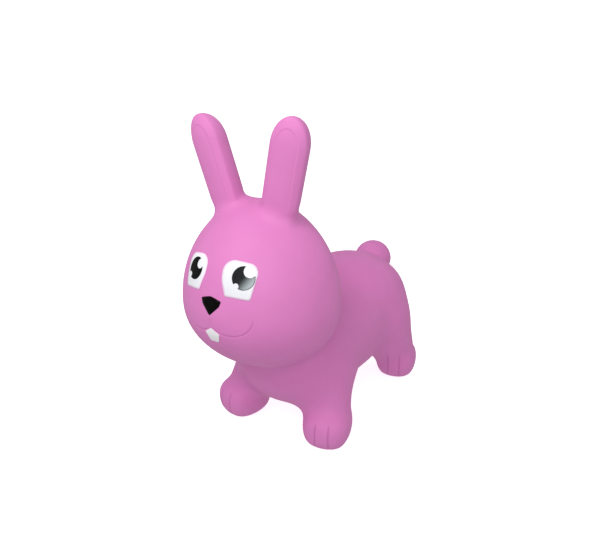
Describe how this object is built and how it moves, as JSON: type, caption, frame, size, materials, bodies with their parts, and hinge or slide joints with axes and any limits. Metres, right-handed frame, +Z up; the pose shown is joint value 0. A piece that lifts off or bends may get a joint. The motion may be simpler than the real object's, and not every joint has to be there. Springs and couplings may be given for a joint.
{
  "type": "animal hopper",
  "caption": "Inflatable rabbit-shaped bounce toy: a hollow moulded vinyl body with ear handles, short legs, a ball tail, a sprayed face and a push-in valve plug under the belly.",
  "frame": {"origin": "on the floor, on the plane of symmetry, under the middle of the overall length", "axes": "+Z up; the rabbit faces -Y; its left side is +X"},
  "size_m": [0.2821, 0.5839, 0.5528],
  "materials": {
    "skin": "satin",
    "valve_plug": "matte",
    "white_paint": "satin",
    "black_paint": "gloss"
  },
  "bodies": {
    "bladder": {"skin": "skin", "eye_white_left": "white_paint", "eye_white_right": "white_paint", "iris_left": "black_paint", "iris_right": "black_paint", "nose": "black_paint", "tooth": "white_paint"},
    "plug": {"valve_plug": "valve_plug"}
  },
  "joints": [
    {"name": "plug_pull", "type": "slide", "parent": "bladder", "child": "plug", "axis": [0, 0, -1], "range_m": [0, 0.028]}
  ]
}
